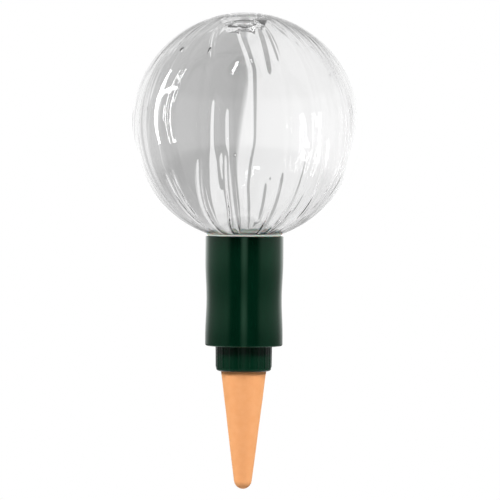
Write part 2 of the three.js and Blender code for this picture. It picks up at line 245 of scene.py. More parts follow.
# %% Helpers for materials
def linear(hex_colour):
    """The linear RGBA of a colour such as "#1B4D33"."""
    channels = [int(hex_colour[i : i + 2], 16) / 255 for i in (1, 3, 5)]
    return [c / 12.92 if c <= 0.04045 else ((c + 0.055) / 1.055) ** 2.4 for c in channels] + [1]


def add_node(tree, kind, settings=None, **inputs):
    """Adds a shader node of this kind, with settings on itself and inputs on its sockets.

    A socket's name is written with underscores for spaces, or as _0, _1 for its number. Its input is
    a value, another node's output to link, or a node, which stands for its first output.
    """
    made = tree.nodes.new("ShaderNode" + kind)
    for name, value in (settings or {}).items():
        setattr(made, name, value)
    for name, value in inputs.items():
        socket = made.inputs[int(name[1:]) if name[1:].isdigit() else name.replace("_", " ")]
        if isinstance(value, bpy.types.Node):
            value = value.outputs[0]
        if isinstance(value, bpy.types.NodeSocket):
            tree.links.new(value, socket)
        else:
            socket.default_value = value
    return made


def give_nodes(owner, output, shader, *details):
    """Gives a material, world or lamp the nodes that shader(tree, *details) adds, and returns it."""
    owner.use_nodes = True
    owner.node_tree.nodes.clear()
    add_node(owner.node_tree, output, Surface=shader(owner.node_tree, *details))
    return owner


def make_material(name, shader, *details):
    return give_nodes(bpy.data.materials.new(name), "OutputMaterial", shader, *details)


def colour_steps(tree, factor, steps):
    """A ramp from (position, colour) steps, fed with factor. Returns its colour output.

    A colour is a hex value, or one number for a plain grey.
    """
    ramp = add_node(tree, "ValToRGB", Fac=factor)
    elements = ramp.color_ramp.elements
    while len(elements) < len(steps):
        elements.new(1)
    for element, (position, colour) in zip(elements, steps):
        element.position = position
        element.color = linear(colour) if isinstance(colour, str) else (colour, colour, colour, 1)
    return ramp.outputs["Color"]


def pattern_at(tree, grain_mm, stretch=(1, 1, 1)):
    """Object coordinates, scaled so that one unit of a pattern is grain_mm millimetres long."""
    place = add_node(tree, "TexCoord").outputs["Object"]
    per_metre = 1 / (grain_mm * MM)
    scale = [per_metre * s for s in stretch]
    return add_node(tree, "Mapping", Vector=place, Scale=scale).outputs["Vector"]


TIMES = {"operation": "MULTIPLY"}
TIMES_PLUS = {"operation": "MULTIPLY_ADD"}

# %% [markdown]
# ### Soda-lime glass
#
# The ball is clear soda-lime glass, with an IOR of 1.52, blown into an optic mould and fire polished.
# Its surface is glossy and never quite even. The ridges and slow waves are real geometry further
# down, because in glass every hundredth of a millimetre tells. Only the last faint ripple is a bump.

# %% Glass
CLEAR = {"Roughness": 0.0, "Transmission_Weight": 1.0}


def blown_glass(tree):
    ripple = add_node(tree, "TexNoise", Vector=pattern_at(tree, 18, (1, 1, 0.4)), Detail=0.0)
    bump = add_node(tree, "Bump", Height=ripple, Strength=0.02, Distance=0.25 * MM)
    return add_node(tree, "BsdfPrincipled", Base_Color=linear("#FDFDFD"), IOR=1.52, Normal=bump, **CLEAR)


def trapped_air(tree):
    """A seed: a bubble of air inside the wall. Light enters it from the glass, so its IOR is 1/1.52."""
    swirl = add_node(tree, "TexNoise", Vector=pattern_at(tree, 1), Detail=1.0)
    bump = add_node(tree, "Bump", Height=swirl, Strength=0.1, Distance=0.1 * MM)
    return add_node(tree, "BsdfPrincipled", Base_Color=linear("#FFFFFF"), IOR=0.658, Normal=bump, **CLEAR)


glass = make_material("blown soda-lime glass", blown_glass)
air = make_material("air bubble in glass", trapped_air)

# %% [markdown]
# ### Moulded green polypropylene
#
# The collar, the coupling and the cap are injection moulded in dark bottle green. The collar comes
# out of a polished mould and mirrors the room softly, and the others have a satin skin. Close up the
# eye sees a fine orange peel, slow patches where the melt flowed together, and a lighter, rubbed line
# along the edges. Polypropylene has an IOR of 1.49.

# %% Green plastic
EDGE_WEAR = 0.5
GLOSS_SPREAD = 0.02  # how far the roughness drifts to either side


def moulded_green(tree, colours, roughness, shine, tint):
    """colours are the melt's darkest and lightest, and tint is what the skin adds to its mirror image."""
    flow = add_node(tree, "TexNoise", Vector=pattern_at(tree, 30, (1, 1, 0.4)), Detail=2.0)
    body = colour_steps(tree, flow, [(0.3, colours[0]), (0.7, colours[1])])
    edge = add_node(tree, "Attribute", {"attribute_name": "edge"}).outputs["Fac"]
    rubbed = add_node(tree, "TexNoise", Vector=pattern_at(tree, 3), Detail=3.0)
    wear = add_node(tree, "Math", TIMES, _0=edge, _1=rubbed)
    share = add_node(tree, "Math", TIMES, _0=wear, _1=EDGE_WEAR)
    colour = add_node(tree, "Mix", {"data_type": "RGBA"}, _0=share, _6=body, _7=linear("#3A6350"))
    low, high = roughness - GLOSS_SPREAD, roughness + GLOSS_SPREAD
    gloss = add_node(tree, "MapRange", Value=flow, To_Min=low, To_Max=high)
    peel = add_node(tree, "TexNoise", Vector=pattern_at(tree, 1.5), Detail=1.0)
    bump = add_node(tree, "Bump", Height=peel, Strength=0.1, Distance=0.05 * MM)
    base = colour.outputs[2]
    skin = {"IOR": 1.49, "Specular_IOR_Level": shine, "Specular_Tint": linear(tint)}
    return add_node(tree, "BsdfPrincipled", Base_Color=base, Roughness=gloss, Normal=bump, **skin)


polished_green = make_material(
    "polished green polypropylene", moulded_green, ("#011B0F", "#022013"), 0.13, 0.5, "#BCFFD7"
)
satin_green = make_material(
    "satin green polypropylene", moulded_green, ("#022315", "#032919"), 0.26, 0.3, "#FFFFFF"
)

# %% [markdown]
# ### Terracotta
#
# The cone is fired, unglazed clay. It is matt and porous: fine sand of about half a millimetre
# speckles it, pores pit it, and the colour drifts a little where the kiln was hotter.

# %% Terracotta
SPECKLE_SHARE = 0.25


def fired_clay(tree):
    drift = add_node(tree, "TexNoise", Vector=pattern_at(tree, 18), Detail=2.0)
    body = colour_steps(tree, drift, [(0.3, "#F1AC72"), (0.7, "#F4B27A")])
    sand = add_node(tree, "TexNoise", Vector=pattern_at(tree, 0.9), Detail=4.0, Roughness=0.7)
    speckle = colour_steps(tree, sand, [(0.3, "#D8CBC0"), (0.55, "#FFFFFF")])
    tinting = {"data_type": "RGBA", "blend_type": "MULTIPLY"}
    colour = add_node(tree, "Mix", tinting, _0=SPECKLE_SHARE, _6=body, _7=speckle)
    pores = add_node(tree, "TexVoronoi", Vector=pattern_at(tree, 1.1))
    pit = add_node(tree, "MapRange", Value=pores, From_Max=0.25)
    grit = add_node(tree, "Math", {"operation": "ADD"}, _0=pit, _1=sand)
    bump = add_node(tree, "Bump", Height=grit, Strength=0.35, Distance=0.12 * MM)
    matt = {"Roughness": 0.92, "Diffuse_Roughness": 0.4, "Specular_IOR_Level": 0.2}
    return add_node(tree, "BsdfPrincipled", Base_Color=colour.outputs[2], Normal=bump, **matt)


clay = make_material("unglazed terracotta", fired_clay)

# %% [markdown]
# ### The two rubbers
#
# The neck seal is pale, milky silicone: soft light goes a millimetre or two into it. The washer
# under the spigot is plain black nitrile sheet, cut with a punch, with a dusting of talc.

# %% Silicone and nitrile
def milky_silicone(tree):
    cloud = add_node(tree, "TexNoise", Vector=pattern_at(tree, 5), Detail=2.0)
    body = colour_steps(tree, cloud, [(0.3, "#D3DAD1"), (0.7, "#E0E5DD")])
    bump = add_node(tree, "Bump", Height=cloud, Strength=0.1, Distance=0.2 * MM)
    milky = {"Roughness": 0.45, "IOR": 1.41, "Subsurface_Weight": 0.3, "Subsurface_Scale": 1.5 * MM}
    return add_node(tree, "BsdfPrincipled", Base_Color=body, Normal=bump, **milky)


def black_nitrile(tree):
    talc = add_node(tree, "TexNoise", Vector=pattern_at(tree, 2), Detail=4.0)
    body = colour_steps(tree, talc, [(0.45, "#1B1C1C"), (0.8, "#3A3B3A")])
    bump = add_node(tree, "Bump", Height=talc, Strength=0.3, Distance=0.1 * MM)
    return add_node(tree, "BsdfPrincipled", Base_Color=body, Roughness=0.75, Normal=bump)


silicone = make_material("milky silicone", milky_silicone)
nitrile = make_material("black nitrile rubber", black_nitrile)
print("materials:", [m.name for m in (glass, air, polished_green, satin_green, clay, silicone, nitrile)])

# %% Helper that dresses a piece
def dress(piece, material, body, node):
    """Gives a piece its material and the body it moves with, and hides the CAD node that it stands for."""
    piece.data.materials.append(material)
    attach(piece, body)
    if node:
        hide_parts(node)
    print(piece.name, "has", len(piece.data.polygons), "faces and rides on", body)
    return piece


# %% [markdown]
# ## Sizes
#
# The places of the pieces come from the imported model's boxes, and what a box can't tell, such as a
# wall, is a named value in millimetres.

# %% Sizes shared by the pieces
def lowest(node):
    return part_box(node)[0].z / MM


def highest(node):
    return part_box(node)[1].z / MM


def widest(node):
    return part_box(node)[1].x / MM


GAP = 0.3  # between pieces that bear on each other
BALL_RADIUS = 60
NECK_RADIUS = 11.5
SHOULDER_FILLET = 4
ball_centre = highest("globe") - BALL_RADIUS
neck_end = lowest("globe")
print("ball centre %.2f mm, neck end %.2f mm" % (ball_centre, neck_end))

# %% [markdown]
# ## The glass globe
#
# The ball is blown into a ribbed optic mould, so that its *inside* keeps some thirty narrow ridges
# while the outside is fire polished almost smooth. Each ridge is a thin lens that pulls a sliver of
# the other background into view. Those that the photograph shows are written down one by one, and
# the others go round the back at even steps.
#
# One profile goes down the inside from the top pole, round the lip of the neck, and up the outside
# to the pole again. Then four fields move the points along the ball's radius: the ridges, faint
# upright streaks, a slow unevenness, and the lump that the gather leaves at the closed top.

# %% Globe profile
shoulder_radius = NECK_RADIUS + SHOULDER_FILLET
shoulder_reach = BALL_RADIUS + SHOULDER_FILLET
shoulder_height = ball_centre - math.sqrt(shoulder_reach**2 - shoulder_radius**2)
shoulder_angle = math.asin(shoulder_radius / shoulder_reach)


def arc_rows(centre_r, centre_z, radius, start, end, count):
    """Rows of (radius, height) on an arc, from one angle to another in radians."""
    angle = np.linspace(start, end, count)
    return np.stack([centre_r + radius * np.cos(angle), centre_z + radius * np.sin(angle)], axis=-1)


def line_rows(radius, start, end, count):
    """Rows of (radius, height) on an upright line, without its two ends."""
    heights = np.linspace(start, end, count + 2)[1:-1]
    return np.stack([np.full(count, float(radius)), heights], axis=-1)


NECK_WALL = 2.2
BALL_WALL = 1.3
TOP_ZONE = 0.3  # radians down from the pole, where the rows lie close


def ball_rows(radius, rows_at_top, rows_below):
    """Rows from the top pole down to the shoulder, close together over the lump."""
    top = np.linspace(0, TOP_ZONE, rows_at_top)
    below = np.linspace(TOP_ZONE, math.pi - shoulder_angle, rows_below)
    angle = QUARTER - np.concatenate([top, below[1:]])
    return np.stack([radius * np.cos(angle), ball_centre + radius * np.sin(angle)], axis=-1)


fillet_start = QUARTER + shoulder_angle
fillet_centre = (shoulder_radius, shoulder_height)
lip_radius = NECK_WALL / 2
lip = (NECK_RADIUS - lip_radius, neck_end + lip_radius, lip_radius)
outside = np.concatenate(
    [
        ball_rows(BALL_RADIUS, 10, 42),
        arc_rows(*fillet_centre, SHOULDER_FILLET, fillet_start, math.pi, 8)[1:],
        line_rows(NECK_RADIUS, shoulder_height, neck_end + lip_radius, 3),
        arc_rows(*lip, 0, -QUARTER, 4),
    ]
)
inside = np.concatenate(
    [
        arc_rows(*lip, -QUARTER, -math.pi, 4)[1:],
        line_rows(NECK_RADIUS - NECK_WALL, neck_end + lip_radius, shoulder_height, 3),
        arc_rows(*fillet_centre, SHOULDER_FILLET + NECK_WALL, math.pi, fillet_start, 8),
        ball_rows(BALL_RADIUS - NECK_WALL, 34, 80)[-2::-1],
    ]
)
print("profile rows:", len(outside), "outside and", len(inside), "inside")

# %% Fields that shape the glass
RIDGE_HEIGHT = 0.6
SEEN_RIDGES = (
    # height share, half widths in mm to its left and right, then its line's points, which are
    # (degrees down from the top, degrees round from +X)
    (0.5, 1.4, 1.4, ((116, -140), (151, -140))),
    (0.5, 1.2, 1.2, ((115, -134), (142, -134))),
    (0.7, 1.3, 1.3, ((107, -114), (159, -125))),
    (0.6, 1.6, 1.6, ((77, -105), (125, -106))),
    (1.7, 5.0, 1.5, ((104, -101), (139, -103), (157, -108))),
    (0.45, 1.1, 1.1, ((83, -98), (157, -97))),
    (0.3, 0.9, 0.9, ((34, -96), (51, -89), (61, -86), (98, -86), (109, -88), (122, -89), (152, -87))),
    (0.5, 1.3, 1.3, ((119, -79), (144, -79))),
    (0.6, 1.3, 1.3, ((113, -70), (157, -70))),
    (0.4, 1.3, 1.3, ((100, -58), (155, -58))),
    (0.5, 1.4, 1.4, ((97, -51), (155, -53))),
    (0.6, 1.6, 1.6, ((97, -45), (144, -38))),
    (0.4, 1.2, 1.2, ((34, -117), (57, -110))),
    (0.6, 2.0, 2.0, ((34, -80), (64, -78))),
    (0.4, 1.0, 1.0, ((34, -73), (57, -71))),
)
OTHER_RIDGES = 14
OTHER_FIRST = -17  # degrees round from +X
OTHER_STEP = 16.4
OTHER_SHARE = 0.4
OTHER_HALF_WIDTH = 2.0
LOW_RIDGES = (6, 7)  # of the others, those that begin only below the ball's middle
STREAK_HEIGHT = 0.05
INSIDE_DRIFT = 0.2
OUTSIDE_DRIFT = 0.08
LUMP_ASIDE = -1.6  # of its middle from the axis
LUMP_DEPTH = 8.0
LUMP_RADIUS = 11.2
LUMP_RING_RADIUS = 10.4
LUMP_RING_DEPTH = 1.5
LUMP_RING_HALF_WIDTH = 1.3
GLOBE_COLUMNS = 520

# %% Optic ridges
rng = np.random.default_rng(7)
other_places = OTHER_FIRST + OTHER_STEP * np.arange(OTHER_RIDGES) + rng.uniform(-2, 2, OTHER_RIDGES)
other_shares = OTHER_SHARE * rng.uniform(0.75, 1.15, OTHER_RIDGES)
other_widths = OTHER_HALF_WIDTH * rng.uniform(0.8, 1.3, OTHER_RIDGES)
other_ridges = [
    (share, width, width, ((105 if i in LOW_RIDGES else 20, place + 1), (130, place - 1), (160, place)))
    for i, (place, share, width) in enumerate(zip(other_places, other_shares, other_widths))
]


def ridges(angle, from_pole):
    """How far the optic ridges stand in from the inner wall, in millimetres.

    Each is a bell curve across its own line, wider on one side if it leans. It rises and falls over
    eight degrees at its ends, and it narrows near the neck, where the ridges run together.
    """
    total = np.zeros_like(angle + from_pole)
    down = np.degrees(from_pole)
    narrow = 0.3 + 0.7 * smooth_step(0, 0.6, math.pi - shoulder_angle - from_pole)
    for share, left_width, right_width, line in (*SEEN_RIDGES, *other_ridges):
        stations, turns = np.array(line, float).T
        place = np.radians(np.interp(down, stations, turns))
        away = (angle - place + math.pi) % TURN - math.pi
        half_width = np.where(away < 0, left_width, right_width) * narrow
        across = away * BALL_RADIUS * np.sin(from_pole) / half_width
        ends = smooth_step(-4, 4, down - stations[0]) * smooth_step(-4, 4, stations[-1] - down)
        total += share * ends * np.exp(-(across**2))
    return RIDGE_HEIGHT * total * smooth_step(0.02, 0.2, math.pi - shoulder_angle - from_pole)


# %% Slow waves and streaks
wave_directions = rng.normal(size=(9, 3))
wave_directions /= np.linalg.norm(wave_directions, axis=1)[:, None]
wave_lengths = rng.uniform(25, 70, 9)
wave_phases = rng.uniform(0, TURN, 9)


def unevenness(points_mm):
    """A slow drift of the wall, between about -1 and 1: nine plane waves laid over each other."""
    waves = np.sin(points_mm @ wave_directions.T * TURN / wave_lengths + wave_phases)
    return waves.sum(axis=-1) / 4


streak_counts = rng.integers(25, 75, 8)
streak_phases = rng.uniform(0, TURN, (8, 2))


def streaks(angle, from_pole):
    """Eight faint upright waves of the inner wall, in millimetres, which drift on their way down."""
    waves = [
        np.sin(count * angle + phase + 2 * np.sin(2 * from_pole + wander))
        for count, (phase, wander) in zip(streak_counts, streak_phases)
    ]
    return STREAK_HEIGHT / 3 * sum(waves) * np.cos(angle) ** 2 * np.sin(from_pole)


# %% Lump at the top
def pole_lump(angle, from_pole):
    """The gather's end inside the closed top, a little out of round and beside the axis.

    It is a plateau that falls off with the sixteenth power, and a bell curve for the thick ring round
    its rim.
    """
    out_of_round = 1 + 0.08 * np.cos(2 * angle) + 0.06 * np.cos(3 * angle + 0.7)
    x = from_pole * BALL_RADIUS * np.cos(angle) - LUMP_ASIDE
    y = from_pole * BALL_RADIUS * np.sin(angle)
    along = np.hypot(x, y) / out_of_round
    drop = LUMP_DEPTH * np.exp(-((along / LUMP_RADIUS) ** 16))
    ring_depth = LUMP_RING_DEPTH * (1 + 0.25 * np.cos(2 * angle) + 0.12 * np.cos(angle))
    ring = ring_depth * np.exp(-(((along - LUMP_RING_RADIUS) / LUMP_RING_HALF_WIDTH) ** 2))
    return drop + ring


# %% Blow the globe
def push_along_radius(points, amount_mm):
    """Moves points in towards the ball's centre by this many millimetres."""
    centre = np.array([0, 0, ball_centre * MM])
    out = points - centre
    reach = np.linalg.norm(out, axis=-1, keepdims=True)
    return centre + out * (1 - amount_mm[..., None] * MM / np.maximum(reach, 1 * MM))


def blow_globe():
    angle = np.arange(GLOBE_COLUMNS) * TURN / GLOBE_COLUMNS
    shells = []
    for profile, is_inside in ((outside, False), (inside, True)):
        points = turn_profile(*profile.T, GLOBE_COLUMNS)
        from_pole = np.arctan2(profile[:, 0], profile[:, 1] - ball_centre)[:, None]
        on_ball = smooth_step(0, 10, profile[:, 1] - shoulder_height)[:, None]
        drift = unevenness(points / MM)
        if is_inside:
            thinner = NECK_WALL - BALL_WALL
            raised = ridges(angle, from_pole) + pole_lump(angle, from_pole)
            inwards = raised + INSIDE_DRIFT * drift - thinner + streaks(angle, from_pole)
        else:
            inwards = OUTSIDE_DRIFT * (1 + drift) * smooth_step(0, 0.4, from_pole)
        shells.append(push_along_radius(points, inwards * on_ball))
    whole = np.concatenate(shells)[::-1].copy()
    whole[0] = whole[0].mean(axis=0)
    whole[-1] = whole[-1].mean(axis=0)
    return add_capped("glass_globe", whole)


globe = dress(blow_globe(), glass, "bulb", "globe")

# %% [markdown]
# ### Seeds
#
# Hand-blown glass holds a few seeds: small eggs of air in the middle of the wall, drawn out along the
# blow. The lump at the top holds a larger one, a wide, flat bubble, which is the bright oval just
# under the top in the photograph.

# %% Seeds in the glass
BUBBLE_RADIUS = 8.4
BUBBLE_HALF_HEIGHT = 2.4
BUBBLE_DEPTH = 4.8
SEED_THICKNESS = 0.8
SEEDS = (  # degrees round from +X, degrees down from the top, length and width in millimetres
    (-137, 49, 2.8, 2.4),
    (-114, 50, 4.6, 1.5),
    (-95, 105, 1.9, 1.5),
    (20, 60, 1.6, 1.4),
    (75, 118, 1.8, 1.2),
    (155, 80, 2.0, 1.6),
)


def add_seed(name, round_degrees, down_degrees, length, width):
    """An egg of air: a flattened ball, longer along the meridian, at the middle of the wall."""
    egg = ball_points((width / 2, SEED_THICKNESS / 2, length / 2), 14, 18)
    turn, tip = math.radians(round_degrees), math.radians(down_degrees)
    out = np.array([math.sin(tip) * math.cos(turn), math.sin(tip) * math.sin(turn), math.cos(tip)])
    along = np.array([math.cos(tip) * math.cos(turn), math.cos(tip) * math.sin(turn), -math.sin(tip)])
    across = np.cross(out, along)
    middle = np.array([0, 0, ball_centre]) + out * (BALL_RADIUS - BALL_WALL / 2)
    return add_capped(name, middle * MM + egg @ np.stack([across, out, along]))


def flat_bubble():
    """The wide, flat bubble that the gather's end closed over, just under the top."""
    points = ball_points((BUBBLE_RADIUS, BUBBLE_RADIUS, BUBBLE_HALF_HEIGHT), 24, 48)
    points += np.array([LUMP_ASIDE, 0, highest("globe") - BUBBLE_DEPTH]) * MM
    return add_capped("flat_bubble", points)


dress(flat_bubble(), air, "bulb", None)
for number, place_and_size in enumerate(SEEDS, 1):
    dress(add_seed(f"seed_{number}", *place_and_size), air, "bulb", None)

# %% [markdown]
# ## The neck seal
#
# A soft silicone bush grips the glass neck. Its thin brim follows the ball's shoulder and spreads
# over the collar's dished top: that is the pale line between the glass and the collar.

# %% Neck seal
SEAL_WALL = 1.2
SEAL_BEAD = 0.6
SEAL_BEAD_COUNT = 3
SEAL_TUBE_LENGTH = 18

BRIM_THICKNESS = 0.65
BRIM_GAP = 0.1  # the soft brim all but touches the ball
MOUTH_RADIUS = 17.4  # of the opening in the collar's top

seal_bore = NECK_RADIUS + GAP
seal_radius = seal_bore + SEAL_WALL
brim_radius = widest("neck_seal")
tube_end = lowest("neck_seal")
flange_bottom = tube_end + SEAL_TUBE_LENGTH


def under_ball(radius, distance):
    """The height, at this radius, of a face that runs at this distance under the ball."""
    return ball_centre - math.sqrt((BALL_RADIUS + distance) ** 2 - radius**2)


def seal_profile():
    offset_ball = BALL_RADIUS + BRIM_GAP
    edge_angle = math.asin(brim_radius / offset_ball) - QUARTER
    flange_edge = MOUTH_RADIUS - GAP
    corners = [(seal_bore, tube_end, 0.3), (seal_radius, tube_end, 0.4)]
    spacing = SEAL_TUBE_LENGTH / (SEAL_BEAD_COUNT + 0.5)
    for i in range(SEAL_BEAD_COUNT):
        middle = tube_end + spacing * (i + 0.75)
        corners += [
            (seal_radius, middle - 1.2 * SEAL_BEAD, 0.4),
            (seal_radius + SEAL_BEAD, middle, 0.5),
            (seal_radius, middle + 1.2 * SEAL_BEAD, 0.4),
        ]
    corners += [
        (seal_radius, flange_bottom, 0.4),
        (flange_edge, flange_bottom, 0.4),
        (flange_edge, under_ball(flange_edge, BRIM_GAP + BRIM_THICKNESS), 0.3),
        (brim_radius, under_ball(brim_radius, BRIM_GAP + BRIM_THICKNESS), 0.2),
        (brim_radius, under_ball(brim_radius, BRIM_GAP), 0.2),
    ]
    shoulder = arc_rows(0, ball_centre, offset_ball, edge_angle - 0.01, shoulder_angle - QUARTER, 6)
    fillet = arc_rows(*fillet_centre, SHOULDER_FILLET - GAP, fillet_start, math.pi, 8)
    corners += [(*point, 0.01) for point in (*shoulder, *fillet[1:])]
    return rounded(corners, 4)


seal = dress(add_ring("silicone_seal", seal_profile()), silicone, "seal", "neck_seal")

# %% [markdown]
# ## The collar
#
# The collar is the grip: a plain tube, drawn in a little at its waist, with a dished lip that turns
# in at the top, under the ball, and a soft round rim at the bottom.

# %% Collar
COLLAR_WALL = 2.25
COLLAR_LIP_THICKNESS = 1.8
WAIST_DEPTH = 0.65
WAIST_HALF_LENGTH = 20
WAIST_RISE = 25  # of its narrowest place above the collar's foot
FOOT_TAPER = 0.25  # the lower end is a little slimmer than the mouth

collar_top = highest("collar")
collar_bottom = lowest("collar")
collar_radius = widest("collar")
collar_bore = collar_radius - COLLAR_WALL
top_gap = BRIM_GAP + BRIM_THICKNESS + GAP
waist_height = collar_bottom + WAIST_RISE


def collar_profile():
    lip_bottom = under_ball(MOUTH_RADIUS, top_gap) - COLLAR_LIP_THICKNESS
    corners = [
        (collar_bore, collar_bottom, 0.5),
        (collar_radius, collar_bottom, 0.9),
        (collar_radius, under_ball(collar_radius, top_gap), 0.35),
        (MOUTH_RADIUS, under_ball(MOUTH_RADIUS, top_gap), 0.4),
        (MOUTH_RADIUS, lip_bottom, 0.3),
        (collar_bore, lip_bottom, 0.3),
    ]
    profile = finer(rounded(corners, 7), 1.5)
    radius, height = profile.T
    along = np.clip((height - waist_height) / WAIST_HALF_LENGTH, -1, 1)
    drawn_in = WAIST_DEPTH * (1 + np.cos(math.pi * along)) / 2
    slimmer = FOOT_TAPER * smooth_step(collar_top, collar_bottom, height)
    on_outside = smooth_step(collar_bore + 0.6, collar_radius - 0.6, radius)
    return np.stack([radius - on_outside * (drawn_in + slimmer), height], axis=-1)


dress(add_ring("green_collar", collar_profile(), 192), polished_green, "holder", "collar")

# %% [markdown]
# ## Threads
#
# The coupling's spigot and the cap share one coarse thread. On a fine mesh it is a height field: the
# wall stands out by how near a point is to the helix. The ridge fades in and out over an eighth of a
# turn, as a moulded thread does.

# %% Thread height field
THREAD_PITCH = 3.2
THREAD_TURNS = 2
THREAD_DEPTH = 0.9
THREAD_HALF_BASE = 0.75
THREAD_HALF_CREST = 0.45
THREAD_START = 11.25
THREAD_ROWS = 84


def thread_height(angle, height, start_angle):
    """How far the ridge stands out, in millimetres, at each angle and height.

    The helix is at height THREAD_START + pitch * turns. Each whole turn is tried in its place, and
    the tallest answer is kept.
    """
    total = np.zeros(np.broadcast(angle, height).shape)
    part_turn = ((angle - start_angle) % TURN) / TURN
    for whole in range(THREAD_TURNS):
        turns = part_turn + whole
        away = np.abs(height - THREAD_START - THREAD_PITCH * turns)
        flank = 1 - smooth_step(THREAD_HALF_CREST, THREAD_HALF_BASE, away)
        ends = smooth_step(0, 0.12, turns) * smooth_step(0, 0.12, THREAD_TURNS - turns)
        total = np.maximum(total, flank * ends)
    return THREAD_DEPTH * total


# %% [markdown]
# ## The coupling
#
# The coupling is hidden until the globe is lifted out or the collar unscrewed. It is one moulding: a
# threaded spigot, a flange that the collar snaps over, a throat, a funnel, and a wide socket that the
# seal is pressed into.

# %% Coupling
SPIGOT_ROOT = 12.55
COUPLING_WALL = 2.0
SOCKET_RADIUS = 13.9
FLANGE_THICKNESS = 2.0
SOCKET_FUNNEL = 1.5
SOCKET_FLOOR = 37.7
LOWER_FLANGE = 20.7

spigot_end = lowest("coupling")
coupling_top = highest("coupling")
flange_radius = widest("coupling")
spigot_bore = SPIGOT_ROOT - COUPLING_WALL
socket_outer = SOCKET_RADIUS + COUPLING_WALL


def spigot_thread(angle, radius, height):
    return thread_height(angle, height, 0) * (np.abs(radius - SPIGOT_ROOT) < 0.01)


def coupling_piece():
    corners = [
        (spigot_bore, spigot_end, 0.3),
        (SPIGOT_ROOT, spigot_end, 0.5),
        (SPIGOT_ROOT, LOWER_FLANGE, 0.4),
        (flange_radius, LOWER_FLANGE, 0.4),
        (flange_radius, LOWER_FLANGE + FLANGE_THICKNESS, 0.4),
        (SPIGOT_ROOT, LOWER_FLANGE + FLANGE_THICKNESS, 0.6),
        (SPIGOT_ROOT, SOCKET_FLOOR - COUPLING_WALL, 1.0),
        (socket_outer, SOCKET_FLOOR + SOCKET_FUNNEL, 1.0),
        (socket_outer, coupling_top - FLANGE_THICKNESS, 0.5),
        (flange_radius, coupling_top - FLANGE_THICKNESS, 0.3),
        (flange_radius, coupling_top, 0.3),
        (SOCKET_RADIUS, coupling_top, 0.4),
        (SOCKET_RADIUS, SOCKET_FLOOR + SOCKET_FUNNEL, 0.6),
        (spigot_bore, SOCKET_FLOOR, 0.5),
    ]
    profile = rounded(corners)
    run_heights = np.linspace(spigot_end + 0.8, LOWER_FLANGE - 0.6, THREAD_ROWS)
    last = np.flatnonzero((profile[:, 0] > SPIGOT_ROOT - 0.01) & (profile[:, 1] < spigot_end + 1))[-1]
    run = np.stack([np.full(THREAD_ROWS, SPIGOT_ROOT), run_heights], axis=-1)
    profile = np.concatenate([profile[: last + 1], run, profile[last + 1 :]])
    return add_ring("green_coupling", profile, 160, spigot_thread)


dress(coupling_piece(), satin_green, "holder", "coupling")

# %% [markdown]
# ## The screw cap
#
# The cap is a bottle closure with a hole in its floor. Narrow grip ribs run down its wall and die
# out above the rounded lower corner, and the female thread runs round the inside.

# %% Screw cap
CAP_WALL_RADIUS = 14.65
CAP_DRAFT = 0.2  # it is slimmer at its foot, so that it leaves the mould
CAP_ROOT = 13.8
CAP_HOLE = 12.3
CAP_FLOOR = 2.5
CAP_CORNER = 1.7
CAP_CHAMFER = 0.52
GRIP_RIB_COUNT = 18
GRIP_RIB_HEIGHT = 0.3
GRIP_RIB_HALF_WIDTH = 0.55
GRIP_RIB_TURN = 1  # degrees
CAP_ROW_STEP = 0.24
CAP_COLUMNS = 432

cap_top = highest("screw_cap")


def cap_relief(angle, radius, height):
    """How far the cap's wall stands out: the grip ribs less the draft outside, and the thread inside.

    A grip rib is a narrow bell round the turn, and it fades at the lower corner.
    """
    step = TURN / GRIP_RIB_COUNT
    away = (angle - math.radians(GRIP_RIB_TURN) + step / 2) % step - step / 2
    across = away * CAP_WALL_RADIUS / GRIP_RIB_HALF_WIDTH
    along = smooth_step(CAP_CORNER * 0.7, CAP_CORNER * 1.6, height)
    rib = GRIP_RIB_HEIGHT * np.exp(-(across**4)) * along
    draft = CAP_DRAFT * smooth_step(cap_top, 0, height)
    on_outside = smooth_step(CAP_WALL_RADIUS - 0.25, CAP_WALL_RADIUS - 0.05, radius)
    on_inside = (np.abs(radius - CAP_ROOT) < 0.01) & (height > CAP_FLOOR)
    return (rib - draft) * on_outside - thread_height(angle, height, math.pi) * on_inside


def screw_cap_piece():
    corners = [
        (CAP_HOLE, 0, 0.2),
        (CAP_WALL_RADIUS, 0, CAP_CORNER),
        (CAP_WALL_RADIUS, cap_top, 0.25),
        (CAP_ROOT, cap_top, 0.15),
        (CAP_ROOT, CAP_FLOOR, 0.2),
        (CAP_HOLE + CAP_CHAMFER, CAP_FLOOR, 0.1),
        (CAP_HOLE, CAP_FLOOR - CAP_CHAMFER, 0.1),
    ]
    profile = finer(rounded(corners, 7, share=0.85), CAP_ROW_STEP)
    return add_ring("green_screw_cap", profile, CAP_COLUMNS, cap_relief)


dress(screw_cap_piece(), satin_green, "stake", "screw_cap")

# %% [markdown]
# ## Washer and clay cone
#
# The washer is a punched ring. The cone is cast in a plaster mould: its sides are straight, its tip
# is a ball, and its outside is slightly uneven, because it was wiped with a sponge before firing.

# %% Washer
WASHER_OPENING = 9.0


def washer_piece():
    low, high, edge = lowest("spigot_washer"), highest("spigot_washer"), widest("spigot_washer")
    corners = [(WASHER_OPENING, low, 0.1), (edge, low, 0.1), (edge, high, 0.1), (WASHER_OPENING, high, 0.1)]
    return add_ring("rubber_washer", finer(rounded(corners, 3), 0.8))


dress(washer_piece(), nitrile, "washer", "spigot_washer")

# %% Clay cone
CONE_RADIUS = 12
CONE_LEDGE = 0.75
CONE_WALL = 3
CONE_TIP = 4.8  # radius of its ball
CONE_CHAMFER = 0.4
LEDGE_HEIGHT = 2.1
SPONGE_DEPTH = 0.07

cone_top = highest("clay_cone")
tip_centre = lowest("clay_cone") + CONE_TIP
lean = math.atan(CONE_RADIUS / -tip_centre) - math.asin(CONE_TIP / math.hypot(CONE_RADIUS, tip_centre))


